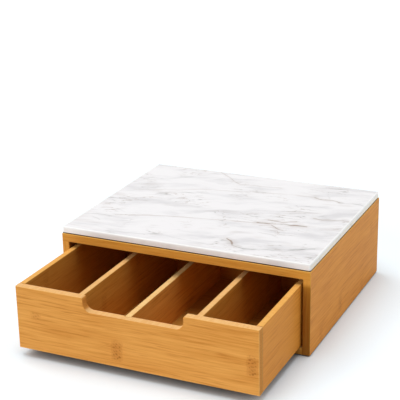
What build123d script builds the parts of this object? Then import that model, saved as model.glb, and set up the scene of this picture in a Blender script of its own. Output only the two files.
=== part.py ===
import os

from build123d import *

# A low bamboo cabinet with a marble slab on top and one open drawer with four compartments.
# Millimetres, +X to the right, -Y to the front, +Z up. The origin is on the floor, in the middle
# of the outline that the holder has with its drawer pulled out by rest_pull.

# Cabinet
cabinet_width = 340.0
cabinet_depth = 280.0
side_thickness = 10.0
top_thickness = 11.0
bottom_thickness = 10.0
back_thickness = 6.0
bay_height = 89.0
back_rebate = 4.0
back_gap = 0.15
board_round = 0.9
opening_bevel = 0.7

# Slab and the sheet that bonds it
slab_thickness = 8.0
slab_inset = 0.8
slab_corner_radius = 2.5
slab_bevel = 0.6
bond_thickness = 1.2
bond_setback = 0.4

# Feet
foot_radius = 7.0
foot_height = 1.5
foot_inset = 24.0
foot_round = 0.5

# Drawer: the gaps are what is left between it and the drawer bay
rest_pull = 131.0
full_pull = 200.0
drawer_side_gap = 2.5
drawer_top_gap = 7.2
drawer_lift = 0.3
closing_gap = 0.5
drawer_front_thickness = 10.0
drawer_side_thickness = 7.5
drawer_back_thickness = 8.0
drawer_round = 0.8
floor_thickness = 4.0
floor_height = 4.0
floor_groove_depth = 3.5
groove_gap = 0.1
groove_end_gap = 0.3

# Finger notch in the drawer front
notch_width = 130.0
notch_depth = 17.5
notch_corner_radius = 10.0
notch_lip_radius = 3.0

# Dividers: the outer two stop below the drawer's edge, and the middle one is level with the notch
outer_compartment_width = 69.0
middle_divider_offset = 10.0
divider_thickness = 7.5
divider_drop = 5.0
divider_dado_depth = 3.0

# Stops that hold the drawer in, each in line with an ear on the drawer's back
stop_inset = 32.0
stop_width = 24.0
stop_length = 16.0
stop_height = 5.0
stop_gap = 0.2
ear_top_gap = 2.7
ear_width = 30.0
ear_radius = 2.5

# Dowels: cabinet joints and drawer joints
dowel_count = 3
dowel_radius = 3.0
dowel_length = 24.0
dowel_depth_in_side = 6.5
dowel_inset = 40.0
small_dowel_count = 3
small_dowel_radius = 1.75
small_dowel_length = 18.0
small_dowel_depth_in_board = 5.5
small_dowel_inset = 16.0
dowel_chamfer = 0.4
dowel_glue_gap = 0.08
dowel_end_gap = 0.6

# Countersunk wood screws
screw_radius = 1.5
screw_head_radius = 2.9
screw_head_height = 1.6
screw_tip_length = 2.5
screw_slot_width = 0.8
screw_slot_length = 3.4
screw_slot_depth = 0.9
screw_gap = 0.05
back_screw_length = 18.0
back_screw_count = 4
back_screw_inset = 32.0
stop_screw_length = 12.0

# How far a cutter runs past a face, and how near an edge counts as lying on a coordinate
past = 1.0
touch = 0.001

# How a cylinder or cone lies on its origin: below it or above it
hanging = (Align.CENTER, Align.CENTER, Align.MAX)
standing = (Align.CENTER, Align.CENTER, Align.MIN)

# Heights and places that follow from the sizes above
bay_width = cabinet_width - 2 * side_thickness
bay_floor_z = foot_height + bottom_thickness
bay_top_z = bay_floor_z + bay_height
carcass_top_z = bay_top_z + top_thickness
bond_top_z = carcass_top_z + bond_thickness
slab_top_z = bond_top_z + slab_thickness
front_y = (rest_pull - cabinet_depth) / 2
back_y = front_y + cabinet_depth
back_panel_y = back_y - back_thickness

drawer_width = bay_width - 2 * drawer_side_gap
drawer_height = bay_height - drawer_lift - drawer_top_gap
drawer_depth = cabinet_depth - back_thickness - closing_gap
drawer_bottom_z = bay_floor_z + drawer_lift
drawer_top_z = drawer_bottom_z + drawer_height
drawer_front_y = front_y - rest_pull
drawer_back_y = drawer_front_y + drawer_depth
compartment_front_y = drawer_front_y + drawer_front_thickness
compartment_back_y = drawer_back_y - drawer_back_thickness
compartment_x = drawer_width / 2 - drawer_side_thickness
floor_bottom_z = drawer_bottom_z + floor_height
floor_top_z = floor_bottom_z + floor_thickness
notch_bottom_z = drawer_top_z - notch_depth
divider_top_z = drawer_top_z - divider_drop
ear_top_z = bay_top_z - ear_top_gap
stop_x = bay_width / 2 - stop_inset
stop_back_y = compartment_back_y - full_pull + rest_pull - stop_gap
stop_bottom_z = bay_top_z - stop_height


def board(x, y, z):
    """A rectangular board from a low and a high value along each axis, in any order."""
    spans = [sorted(span) for span in (x, y, z)]
    size = [high - low for low, high in spans]
    centre = [(high + low) / 2 for low, high in spans]
    return Pos(*centre) * Box(*size)


def edges_at(shape, **place):
    """The edges whose middle has the given coordinates, such as X=5, Z=0."""

    def lies_there(edge):
        middle = edge.center()
        return all(abs(getattr(middle, axis) - value) < touch for axis, value in place.items())

    return shape.edges().filter_by(lies_there)


def spaced(start, end, count):
    """Evenly spaced values from start to end, both included."""
    return [start + (end - start) * i / (count - 1) for i in range(count)]


def rod(radius, start, end):
    """A round rod between two points."""
    along = Vector(*end) - Vector(*start)
    return extrude(Plane(origin=start, z_dir=along) * Circle(radius), along.length)


def dowel(radius, start, end):
    """A wooden dowel with chamfered ends."""
    pin = rod(radius, start, end)
    return chamfer(pin.edges().filter_by(GeomType.CIRCLE), dowel_chamfer)


def dowel_hole(radius, start, end):
    """The hole for that dowel, a little wider and longer."""
    along = (Vector(*end) - Vector(*start)).normalized() * dowel_end_gap
    return rod(radius + dowel_glue_gap, Vector(*start) - along, Vector(*end) + along)


def screw_shape(length, gap):
    """The outside of a countersunk screw below its head's flat top, grown by a gap."""
    radius = screw_radius + gap
    head = Cone(radius, screw_head_radius + gap, screw_head_height, align=hanging)
    shank = Cylinder(radius, length - screw_tip_length, align=hanging)
    tip = Cone(gap, radius, screw_tip_length, align=hanging)
    return head + shank + Pos(0, 0, screw_tip_length - length) * tip


def screw(length, at, facing):
    """A cross-slotted countersunk wood screw whose head lies at a point and faces a direction."""
    slot = Box(screw_slot_length, screw_slot_width, 2 * screw_slot_depth)
    cut = screw_shape(length, 0) - slot - Rot(0, 0, 90) * slot
    return Plane(origin=at, z_dir=facing).location * cut


def screw_hole(length, at, facing):
    """The pilot hole and countersink for that screw."""
    bore = screw_shape(length + dowel_end_gap, screw_gap)
    mouth = Cylinder(screw_head_radius + screw_gap, past, align=standing)
    return Plane(origin=at, z_dir=facing).location * (bore + mouth)


# Cabinet joints: dowels between the sides and the top and bottom panels
dowel_rows_y = spaced(front_y + dowel_inset, back_panel_y - dowel_inset, dowel_count)
dowel_outer_x = bay_width / 2 + dowel_depth_in_side
dowel_inner_x = dowel_outer_x - dowel_length
top_joint_z = bay_top_z + top_thickness / 2
bottom_joint_z = foot_height + bottom_thickness / 2


def panel_dowels(side, z, make):
    """Dowels, or with dowel_hole their holes, in one side's joint at height z."""
    return [
        make(dowel_radius, (side * dowel_inner_x, y, z), (side * dowel_outer_x, y, z))
        for y in dowel_rows_y
    ]


# Screws through the back panel into the top and bottom panels
back_screw_reach = bay_width / 2 - back_screw_inset
back_screw_xs = spaced(-back_screw_reach, back_screw_reach, back_screw_count)
back_screw_places = [(x, back_y, z) for z in (bottom_joint_z, top_joint_z) for x in back_screw_xs]
backward = (0, 1, 0)
downward = (0, 0, -1)


def upright_plane(y):
    """A plane facing the front whose sketch coordinates are X and Z."""
    return Plane(origin=(0, y, 0), x_dir=(1, 0, 0), z_dir=(0, -1, 0))


def opening_cutter():
    """The bevel round the mouth of the drawer bay."""
    mouth = Pos(0, (bay_floor_z + bay_top_z) / 2) * Rectangle(bay_width, bay_height)
    return extrude(upright_plane(front_y + opening_bevel) * mouth, opening_bevel, taper=-45)


def side_panel(side):
    """One side of the cabinet: side is -1 on the left and 1 on the right."""
    outer = side * cabinet_width / 2
    inner = side * bay_width / 2
    panel = board((inner, outer), (front_y, back_y), (foot_height, carcass_top_z))
    soft = edges_at(panel, X=outer) + edges_at(panel, Y=front_y, Z=carcass_top_z)
    soft += edges_at(panel, Y=front_y, Z=foot_height)
    panel = fillet(soft, board_round)
    rebate_x = (inner - side * past, inner + side * back_rebate)
    panel -= board(rebate_x, (back_panel_y, back_y + past), (foot_height - past, carcass_top_z + past))
    panel -= opening_cutter()
    for z in (bottom_joint_z, top_joint_z):
        for hole in panel_dowels(side, z, dowel_hole):
            panel -= hole
    return panel


def level_panel(low_z, high_z, joint_z, soft_z):
    """The top or bottom panel between the sides, with its front arris rounded at soft_z."""
    panel = board((-bay_width / 2, bay_width / 2), (front_y, back_panel_y), (low_z, high_z))
    panel = fillet(edges_at(panel, Y=front_y, Z=soft_z), board_round)
    panel -= opening_cutter()
    for side in (-1, 1):
        for hole in panel_dowels(side, joint_z, dowel_hole):
            panel -= hole
    for place in back_screw_places:
        if place[2] == joint_z:
            panel -= screw_hole(back_screw_length, place, backward)
    return panel


def top_panel():
    """The top panel, which carries the slab and the drawer stops."""
    panel = level_panel(bay_top_z, carcass_top_z, top_joint_z, carcass_top_z)
    for side in (-1, 1):
        panel -= screw_hole(stop_screw_length, stop_screw_place(side), downward)
    return panel


def bottom_panel():
    """The bottom panel, on which the drawer slides."""
    return level_panel(foot_height, bay_floor_z, bottom_joint_z, foot_height)


def back_panel():
    """The thin back in the rebates of the sides, screwed to the top and bottom panels."""
    half = bay_width / 2 + back_rebate - back_gap
    panel = board((-half, half), (back_panel_y, back_y), (foot_height, carcass_top_z))
    for place in back_screw_places:
        panel -= screw_hole(back_screw_length, place, backward)
    return panel


def slab():
    """The marble slab with rounded corners and a fine bevel round its top."""
    half_width = cabinet_width / 2 - slab_inset
    y = (front_y + slab_inset, back_y - slab_inset)
    stone = board((-half_width, half_width), y, (bond_top_z, slab_top_z))
    stone = fillet(stone.edges().filter_by(Axis.Z), slab_corner_radius)
    return chamfer(edges_at(stone, Z=slab_top_z), slab_bevel)


def bond_sheet():
    """The thin dark sheet that bonds the slab to the cabinet, set back from the slab's edge."""
    setback = slab_inset + bond_setback
    half_width = cabinet_width / 2 - setback
    y = (front_y + setback, back_y - setback)
    return board((-half_width, half_width), y, (carcass_top_z, bond_top_z))


def foot(side, y):
    """A round foot with a softened rim, stuck under the bottom panel."""
    x = side * (cabinet_width / 2 - foot_inset)
    pad = rod(foot_radius, (x, y, 0), (x, y, foot_height))
    return fillet(edges_at(pad, Z=0).filter_by(GeomType.CIRCLE), foot_round)


def stop_screw_place(side):
    """Where the screw's head lies in the stop block on one side."""
    return (side * stop_x, stop_back_y - stop_length / 2, stop_bottom_z)


def drawer_stop(side):
    """A block under the top panel that catches an ear of the drawer's back."""
    x = (side * stop_x - stop_width / 2, side * stop_x + stop_width / 2)
    block = board(x, (stop_back_y - stop_length, stop_back_y), (stop_bottom_z, bay_top_z))
    return block - screw_hole(stop_screw_length, stop_screw_place(side), downward)


# Drawer joints: dowels from the front and back boards into the ends of the sides
small_dowel_x = (drawer_width - drawer_side_thickness) / 2
small_dowel_low_z = drawer_bottom_z + small_dowel_inset
small_dowel_zs = spaced(small_dowel_low_z, drawer_top_z - small_dowel_inset, small_dowel_count)


def end_dowels(joint_y, into_board, side, make):
    """Dowels or holes in the joint at joint_y, where into_board is the direction of the board in Y."""
    deep_y = joint_y + into_board * small_dowel_depth_in_board
    far_y = deep_y - into_board * small_dowel_length
    x = side * small_dowel_x
    return [make(small_dowel_radius, (x, far_y, z), (x, deep_y, z)) for z in small_dowel_zs]


def drill_ends(shape, joint_y, into_board, sides):
    """Cuts the dowel holes of the joint at joint_y out of a front, back or side board."""
    for side in sides:
        for hole in end_dowels(joint_y, into_board, side, dowel_hole):
            shape -= hole
    return shape


def floor_groove():
    """The groove round the inside of the drawer that holds its bottom."""
    half_width = compartment_x + floor_groove_depth
    y = (compartment_front_y - floor_groove_depth, compartment_back_y + floor_groove_depth)
    return board((-half_width, half_width), y, (floor_bottom_z - groove_gap, floor_top_z + groove_gap))


# Where each divider stands across the drawer, and the height of its top
outer_divider_x = compartment_x - outer_compartment_width - divider_thickness / 2
divider_places = {
    "left": (-outer_divider_x, divider_top_z),
    "middle": (-middle_divider_offset, notch_bottom_z),
    "right": (outer_divider_x, divider_top_z),
}
divider_ends_y = (
    compartment_front_y - divider_dado_depth + groove_end_gap,
    compartment_back_y + divider_dado_depth - groove_end_gap,
)


def dado(x, top_z):
    """The upright grooves in the front and back boards that hold a divider."""
    half = divider_thickness / 2 + groove_gap
    y = (compartment_front_y - divider_dado_depth, compartment_back_y + divider_dado_depth)
    return board((x - half, x + half), y, (floor_top_z, top_z + groove_gap))


def sketch_corners(sketch, x, z):
    """The corners of a sketch at plus and minus x and at height z."""
    return sketch.vertices().filter_by(lambda v: abs(abs(v.X) - x) < touch and abs(v.Y - z) < touch)


def drawer_front():
    """The front board with its finger notch, grooves and dowel holes."""
    middle_z = (drawer_bottom_z + drawer_top_z) / 2
    outline = Pos(0, middle_z) * Rectangle(drawer_width, drawer_height)
    notch_middle_z = notch_bottom_z + notch_depth
    outline -= Pos(0, notch_middle_z) * Rectangle(notch_width, 2 * notch_depth)
    outline = fillet(sketch_corners(outline, notch_width / 2, notch_bottom_z), notch_corner_radius)
    outline = fillet(sketch_corners(outline, notch_width / 2, drawer_top_z), notch_lip_radius)
    panel = extrude(upright_plane(drawer_front_y) * outline, -drawer_front_thickness)
    soft = edges_at(panel, Y=drawer_front_y)
    for edge in edges_at(panel, Y=compartment_front_y):
        middle = edge.center()
        if middle.Z > notch_bottom_z - touch and abs(middle.X) < drawer_width / 2 - touch:
            soft.append(edge)
    panel = fillet(soft, drawer_round)
    panel -= floor_groove()
    for place in divider_places.values():
        panel -= dado(*place)
    return drill_ends(panel, compartment_front_y, -1, (-1, 1))


def drawer_side(side):
    """One side of the drawer, between the front and back boards."""
    x = (side * compartment_x, side * drawer_width / 2)
    panel = board(x, (compartment_front_y, compartment_back_y), (drawer_bottom_z, drawer_top_z))
    soft = [edge for edge in panel.edges().filter_by(Axis.Y) if edge.center().Z > drawer_bottom_z + touch]
    soft += edges_at(panel, X=side * drawer_width / 2, Z=drawer_bottom_z)
    panel = fillet(soft, drawer_round)
    panel -= floor_groove()
    panel = drill_ends(panel, compartment_front_y, -1, (side,))
    return drill_ends(panel, compartment_back_y, 1, (side,))


def drawer_back():
    """The back board with two ears on top that run against the stops."""
    middle_z = (drawer_bottom_z + drawer_top_z) / 2
    outline = Pos(0, middle_z) * Rectangle(drawer_width, drawer_height)
    ear_middle_z = (ear_top_z + middle_z) / 2
    for side in (-1, 1):
        outline += Pos(side * stop_x, ear_middle_z) * Rectangle(ear_width, ear_top_z - middle_z)
    for x in (stop_x - ear_width / 2, stop_x + ear_width / 2):
        outline = fillet(sketch_corners(outline, x, ear_top_z), ear_radius)
    panel = extrude(upright_plane(compartment_back_y) * outline, -drawer_back_thickness)
    panel -= floor_groove()
    for place in divider_places.values():
        panel -= dado(*place)
    return drill_ends(panel, compartment_back_y, 1, (-1, 1))


def drawer_bottom():
    """The thin bottom held in the grooves of the four drawer boards."""
    reach = floor_groove_depth - groove_end_gap
    x = (-compartment_x - reach, compartment_x + reach)
    y = (compartment_front_y - reach, compartment_back_y + reach)
    return board(x, y, (floor_bottom_z, floor_top_z))


def divider(x, top_z):
    """A divider that stands on the drawer's bottom in its two grooves."""
    half = divider_thickness / 2
    panel = board((x - half, x + half), divider_ends_y, (floor_top_z, top_z))
    return fillet(edges_at(panel, Z=top_z).filter_by(Axis.Y), drawer_round)


def build():
    """Every piece of the holder, by name."""
    pieces = {
        "left_side_panel": side_panel(-1),
        "right_side_panel": side_panel(1),
        "top_panel": top_panel(),
        "bottom_panel": bottom_panel(),
        "back_panel": back_panel(),
        "slab_bond_sheet": bond_sheet(),
        "marble_slab": slab(),
        "drawer_stop_left": drawer_stop(-1),
        "drawer_stop_right": drawer_stop(1),
        "drawer_front": drawer_front(),
        "drawer_left_side": drawer_side(-1),
        "drawer_right_side": drawer_side(1),
        "drawer_back": drawer_back(),
        "drawer_bottom": drawer_bottom(),
    }
    for where, y in (("front", front_y + foot_inset), ("back", back_y - foot_inset)):
        for name, side in (("left", -1), ("right", 1)):
            pieces[f"foot_{where}_{name}"] = foot(side, y)
    for name, place in divider_places.items():
        pieces[f"divider_{name}"] = divider(*place)
    for name, z in (("top", top_joint_z), ("bottom", bottom_joint_z)):
        pins = panel_dowels(-1, z, dowel) + panel_dowels(1, z, dowel)
        pieces[f"{name}_panel_dowels"] = Compound(pins)
    for name, y, into_board in (("front", compartment_front_y, -1), ("back", compartment_back_y, 1)):
        pins = end_dowels(y, into_board, -1, dowel) + end_dowels(y, into_board, 1, dowel)
        pieces[f"drawer_{name}_dowels"] = Compound(pins)
    pieces["back_panel_screws"] = Compound(
        [screw(back_screw_length, place, backward) for place in back_screw_places]
    )
    pieces["drawer_stop_screws"] = Compound(
        [screw(stop_screw_length, stop_screw_place(side), downward) for side in (-1, 1)]
    )
    return pieces


os.makedirs("parts", exist_ok=True)
for name, shape in build().items():
    export_step(shape, f"parts/{name}.step")
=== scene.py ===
import math
from collections import namedtuple
from contextlib import contextmanager

import bmesh
import bpy
from bpy.props import FloatProperty, FloatVectorProperty, IntProperty, PointerProperty
from mathutils import Matrix, Vector


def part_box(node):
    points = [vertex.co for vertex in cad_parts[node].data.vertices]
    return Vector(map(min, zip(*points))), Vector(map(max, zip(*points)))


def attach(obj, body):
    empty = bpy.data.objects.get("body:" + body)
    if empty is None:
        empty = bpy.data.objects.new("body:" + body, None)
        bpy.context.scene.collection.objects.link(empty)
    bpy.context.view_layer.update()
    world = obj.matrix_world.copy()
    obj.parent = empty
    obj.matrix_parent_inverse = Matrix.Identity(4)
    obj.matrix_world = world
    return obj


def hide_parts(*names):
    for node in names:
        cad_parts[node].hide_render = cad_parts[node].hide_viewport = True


bl_info = {
    "name": "Bamboo Drawer Cabinet",
    "version": (1, 0, 0),
    "blender": (4, 5, 0),
    "location": "View3D > Sidebar > Cabinet",
    "description": "Finishes a low bamboo cabinet with a marble top and one drawer, and lights it",
    "category": "Object",
}

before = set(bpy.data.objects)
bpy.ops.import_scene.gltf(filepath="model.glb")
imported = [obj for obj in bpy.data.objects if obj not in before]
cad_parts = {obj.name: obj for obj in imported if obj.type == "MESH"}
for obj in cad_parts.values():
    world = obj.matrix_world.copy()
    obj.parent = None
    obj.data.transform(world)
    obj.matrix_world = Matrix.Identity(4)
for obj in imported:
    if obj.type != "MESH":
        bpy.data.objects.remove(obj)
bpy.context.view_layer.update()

MM = 0.001

# How far a box is stretched past the ends and edges that get no painted highlight line
FAR = 1.0

# How near two places are taken as one
SAME = 0.001 * MM


# Settings that a user would change

def linear(screen):
    """A colour given as 0 to 255 on screen, as the values that a material takes."""
    values = [v / 255 for v in screen]
    return tuple(v / 12.92 if v <= 0.04045 else ((v + 0.055) / 1.055) ** 2.4 for v in values)


def colour(name, description, *screen):
    """A colour setting with its default as it looks on screen."""
    return FloatVectorProperty(
        name=name, description=description, default=linear(screen), subtype="COLOR", min=0, max=1
    )


def length(name, description, millimetres):
    """A length setting with its default in millimetres."""
    return FloatProperty(
        name=name, description=description, default=millimetres * MM, unit="LENGTH", precision=5
    )


def angle(name, description, degrees):
    """An angle setting with its default in degrees."""
    return FloatProperty(
        name=name, description=description, default=math.radians(degrees), subtype="ANGLE"
    )


def share(name, description, default):
    """A setting between none and all."""
    return FloatProperty(
        name=name, description=description, default=default, subtype="FACTOR", min=0, max=1
    )


class BambooSettings(bpy.types.PropertyGroup):
    """Colours and grain of the bamboo boards."""

    light: colour("Light fibre", "Palest fibres on a board's face", 237, 170, 86)
    dark: colour("Dark fibre", "Darkest fibres on a board's face", 210, 137, 55)
    streak: colour("Streak", "Dark streaks along the grain", 180, 104, 34)
    node: colour("Node mark", "Ticks where a cane had a node", 152, 80, 14)
    end: colour("End grain", "Sawn ends of a board", 209, 141, 64)
    pore: colour("Pore", "Dots in the end grain", 176, 112, 48)
    crack: colour("Joint", "Fine line where two boards meet", 120, 68, 26)
    # Paler cream for upward faces: partly the sandpapered look of top edges, partly a painted highlight
    # from above
    sanded_and_top_lit: colour("Sanded edge", "Sanded upper edges", 238, 190, 127)
    # Paler line along edges: a painted highlight, partly the lighter fibres of eased edges
    arris: colour("Eased edge", "Eased edges between two faces", 244, 190, 112)
    strip: length("Strip width", "Width of a board's glued strips", 4.6)
    cane: length("Cane width", "Width of one node mark", 23)
    internode: length("Node spacing", "Mean distance between node marks", 190)
    node_length: length("Node length", "Length of a node mark", 14)
    tick: length("Tick spacing", "Distance between rows of ticks", 2.3)
    arris_highlight_width: length("Eased width", "Width of the paler line along an edge", 1.1)
    roughness: share("Roughness", "Roughness of the matt lacquer", 0.55)


class MarbleSettings(bpy.types.PropertyGroup):
    """Colours and shape of the marble slab."""

    ground: colour("Ground", "Stone between the veins", 239, 237, 238)
    cloud: colour("Cloud", "Pale grey clouds", 211, 209, 211)
    brown: colour("Brown vein", "Warm veins", 132, 100, 70)
    grey: colour("Grey vein", "Cool veins", 128, 124, 120)
    # Painted highlight: paler stone in a line along the slab's upper edge, with its width set below
    polished: colour("Polished edge", "Stone along the upper edge", 252, 251, 250)
    # Painted light: paler stone on the upright faces to make up for the weaker light they catch, and a
    # warmer cream on the left and right sides as painted warm light thrown back by the wood
    edge: colour("Edge", "Stone on the slab's front and back", 252, 248, 245)
    cut: colour("Cut", "Stone on the slab's left and right sides", 252, 238, 216)
    rim: length("Rim", "Width of the paler line along the upper edge", 3.0)
    corner: length("Corner radius", "Radius of the slab's upright corners", 2.5)
    arris: length("Upper arris", "Radius of the polished upper edge", 1.3)
    lower_arris: length("Lower arris", "Radius of the eased lower edge", 0.4)
    polish: share("Roughness", "Roughness of the polished stone", 0.16)


class FittingSettings(bpy.types.PropertyGroup):
    """The sheet under the slab, feet, dowels and screws."""

    # Painted shadow: the sheet under the slab is near black so that it reads as the shadow line under the
    # slab
    bond: colour("Bond", "Sheet under the slab", 34, 20, 11)
    rubber: colour("Feet", "Rubber of the feet", 46, 44, 43)
    beech: colour("Dowel", "Dowels", 222, 186, 140)
    zinc: colour("Screw", "Zinc-plated screws", 190, 188, 182)
    rim: length("Foot rim", "Radius of the softened rim of a foot", 0.5)
    hollow: length("Foot hollow", "Depth of the hollow under a foot", 0.3)
    flutes: IntProperty(name="Flutes", description="Grooves round a dowel", default=16, min=6)
    flute_depth: length("Flute depth", "Depth of the grooves round a dowel", 0.2)
    dowel_end: length("Dowel chamfer", "Chamfer at the ends of a dowel", 0.4)
    shank: length("Screw radius", "Radius of a screw's thread", 1.5)
    core: length("Screw core", "Radius of the core inside the thread", 1.05)
    pitch: length("Thread pitch", "Distance between turns of a screw's thread", 1.3)
    plain: share("Plain shank", "Share of the shank without thread", 0.25)
    sink: length("Head height", "Height of the countersunk head", 1.6)
    tip: length("Screw tip", "Length of a screw's tapered tip", 2.5)
    recess: length("Recess", "Length of each slot of the cross", 3.6)
    recess_width: length("Recess width", "Width of each slot of the cross", 0.8)
    recess_depth: length("Recess depth", "Depth of the cross recess", 0.9)


class StageSettings(bpy.types.PropertyGroup):
    """Camera, lamps and floor."""

    aim: FloatVectorProperty(
        name="Aim", description="Point that the camera looks at", subtype="TRANSLATION",
        unit="LENGTH", default=(-46.8 * MM, 85.1 * MM, 119.7 * MM),
    )
    distance: length("Distance", "Distance from the camera to that point", 1597.7)
    azimuth: angle("Azimuth", "How far right of the front the camera stands", 25.09)
    elevation: angle("Elevation", "How far the camera looks down", 19.84)
    roll: angle("Roll", "How far the camera leans about its view", -1.17)
    lens: FloatProperty(name="Lens", description="Focal length in millimetres", default=105.5)
    floor: colour("Floor", "Floor under the cabinet", 228, 234, 238)
    glow: colour("Floor glow", "Light added to the open floor as it is seen", 134, 146, 153)
    glow_reach: length("Glow distance", "How near a thing dims the floor's glow", 90)
    contact_shadow: length("Contact distance", "How near a thing darkens the floor", 60)
    zenith: share("Zenith", "Strength of the sky straight overhead", 0.3)
    overhead: share("Overhead light", "Light from above", 0.475)
    front: share("Front light", "Light from the front left", 0.44)
    right: share("Right light", "Light from the right", 0.135)
    back: share("Back light", "Low light from behind on the right", 0.2)
    left: share("Left light", "Light from the left", 0.21)
    spread: angle("Spread", "How broad each light looks from the cabinet", 40)


# Building shader nodes

def opaque(value):
    """A colour of three numbers with its fourth, and any other input as it is."""
    if isinstance(value, bpy.types.NodeSocket) or isinstance(value, (int, float)):
        return value
    return (*value, 1) if len(value) == 3 else value


class Graph:
    """Adds nodes to one node tree. An input is another node's output, a plain value or None."""

    def __init__(self, tree):
        self.tree = tree

    def node(self, kind, inputs=(), **settings):
        """Adds a shader node and fills its inputs by place or by name."""
        node = self.tree.nodes.new("ShaderNode" + kind)
        for name, value in settings.items():
            setattr(node, name, value)
        self.fill(node, inputs)
        return node

    def add(self, kind, inputs=(), output=0, **settings):
        """Adds a shader node and returns one of its outputs."""
        return self.node(kind, inputs, **settings).outputs[output]

    def fill(self, node, inputs):
        """Sets or links a node's inputs."""
        for key, value in inputs.items() if isinstance(inputs, dict) else enumerate(inputs):
            if isinstance(value, bpy.types.NodeSocket):
                self.tree.links.new(value, node.inputs[key])
            elif value is not None:
                node.inputs[key].default_value = value

    def math(self, operation, *values):
        """A number worked out from others."""
        return self.add("Math", values, operation=operation)

    def times(self, product, *factors):
        """The product of several numbers."""
        for factor in factors:
            product = self.math("MULTIPLY", product, factor)
        return product

    def vector(self, operation, *values, output=0):
        """A vector, or with output="Value" a number, worked out from others."""
        return self.add("VectorMath", values, output, operation=operation)

    def scale(self, vector, factor):
        """A vector times a number."""
        return self.add("VectorMath", {0: vector, "Scale": factor}, operation="SCALE")

    def split(self, vector):
        """The three numbers of a vector."""
        return list(self.node("SeparateXYZ", (vector,)).outputs)

    def join(self, *values):
        """A vector of three numbers."""
        return self.add("CombineXYZ", values)

    def mix(self, factor, low, high, blend="MIX"):
        """A colour between two colours."""
        inputs = {0: factor, 6: opaque(low), 7: opaque(high)}
        return self.add("Mix", inputs, 2, data_type="RGBA", blend_type=blend)

    def blend(self, factor, low, high):
        """A vector between two vectors."""
        inputs = {0: factor, 4: low, 5: high}
        return self.add("Mix", inputs, 1, data_type="VECTOR")

    def rise(self, value, start, end, low=0.0, high=1.0):
        """Goes smoothly from low to high while a value goes from start to end."""
        inputs = (value, start, end, low, high)
        return self.add("MapRange", inputs, interpolation_type="SMOOTHSTEP")

    def noise(self, vector, scale, detail=2.0, roughness=0.5, output=0):
        """Noise with its number of waves to the metre, the same every way or one for each axis."""
        if isinstance(scale, tuple):
            vector, scale = self.vector("MULTIPLY", vector, scale), 1.0
        inputs = {"Vector": vector, "Scale": scale, "Detail": detail, "Roughness": roughness}
        return self.add("TexNoise", inputs, output)

    def wander(self, vector, scale, reach):
        """A vector moved about by noise, by up to about a quarter of reach each way."""
        moved = self.vector("SUBTRACT", self.noise(vector, scale, output=1), (0.5, 0.5, 0.5))
        return self.vector("ADD", vector, self.scale(moved, reach))

    def group(self, tree, inputs):
        """Places a node group and returns its outputs."""
        return self.node("Group", inputs, node_tree=tree).outputs


def start_group(name, inputs, outputs):
    """A new node group, given the names of its sockets of each kind: its graph and its inputs."""
    tree = bpy.data.node_groups.new(name, "ShaderNodeTree")
    for side, sockets in (("INPUT", inputs), ("OUTPUT", outputs)):
        for kind, labels in sockets.items():
            for label in labels.split(", "):
                tree.interface.new_socket(name=label, in_out=side, socket_type="NodeSocket" + kind)
    return Graph(tree), tree.nodes.new("NodeGroupInput").outputs


def end_group(graph, outputs):
    """Links the results to a node group's outputs and returns the group."""
    graph.fill(graph.tree.nodes.new("NodeGroupOutput"), outputs)
    return graph.tree


def start_material(name):
    """A material with no nodes yet, and its graph."""
    material = bpy.data.materials.new(name)
    material.use_nodes = True
    material.node_tree.nodes.clear()
    return material, Graph(material.node_tree)


def end_material(graph, surface_inputs, height, relief):
    """Closes a material with its surface and a bump whose highest point stands at relief."""
    bump = {"Strength": 1.0, "Distance": relief, "Height": height}
    inputs = {name: opaque(value) for name, value in surface_inputs.items()}
    inputs["Normal"] = graph.add("Bump", bump)
    surface = graph.add("BsdfPrincipled", inputs)
    graph.node("OutputMaterial", {"Surface": surface})


def object_place(graph):
    """Where a point of the piece lies, in metres from the cabinet's origin."""
    return graph.add("TexCoord", output="Object")


# Bamboo

# How strongly a node mark's patch and ticks cover the fibres, and how far the grain sways
PATCH_MIX, TICK_MIX = 0.36, 0.66
GRAIN_WAVE = 5 * MM

# Share of the places for a node mark that stay bare
BARE_SHARE = 0.45

# How far from a board's end the dark line of a joint starts and ends to fade
JOINT_FADE = (0.1 * MM, 0.6 * MM)


def node_mark_group():
    """One node mark: short ticks in staggered columns on a slightly darker patch."""
    inputs = {"Vector": "Position, Centre", "Float": "Half length, Half width, Tick spacing"}
    graph, given = start_group("node_mark", inputs, {"Float": "Ticks, Patch"})
    position, spacing = given["Position"], given["Tick spacing"]
    offset = graph.vector("SUBTRACT", position, given["Centre"])
    offset = graph.vector("MULTIPLY", offset, (1, 1, 0))
    along, across, _ = graph.split(graph.wander(offset, 150, 5 * MM))
    reach = graph.math("DIVIDE", graph.math("ABSOLUTE", along), given["Half length"])
    spread = graph.math("DIVIDE", graph.math("ABSOLUTE", across), given["Half width"])
    within = graph.rise(spread, 0.6, 1.15, 1, 0)
    inside = graph.times(graph.rise(reach, 0.35, 1.2, 1, 0), within)
    from_ridge = graph.math("ABSOLUTE", graph.math("SUBTRACT", reach, 0.9))
    ridges = graph.times(graph.rise(from_ridge, 0.0, 0.16, 0.5, 0), within)
    row = graph.math("DIVIDE", graph.math("MULTIPLY_ADD", along, 0.3, across), spacing)
    column = graph.math("DIVIDE", along, graph.times(spacing, 1.6))
    rows = graph.math("COSINE", graph.times(row, math.pi))
    columns = graph.math("COSINE", graph.times(column, math.pi))
    blotch = graph.noise(position, (230, 330, 0), detail=1)
    spots = graph.math("MULTIPLY_ADD", blotch, 3.4, graph.times(columns, rows))
    ticks = graph.rise(spots, 1.75, 2.5)
    uneven = graph.rise(graph.noise(position, 120, detail=1), 0.35, 0.6, 0.55, 1)
    middle = graph.rise(reach, 0.5, 0.8, 1, 0)
    ticks = graph.times(ticks, uneven, middle, within)
    return end_group(graph, {"Ticks": ticks, "Patch": graph.math("ADD", inside, ridges)})


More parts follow.
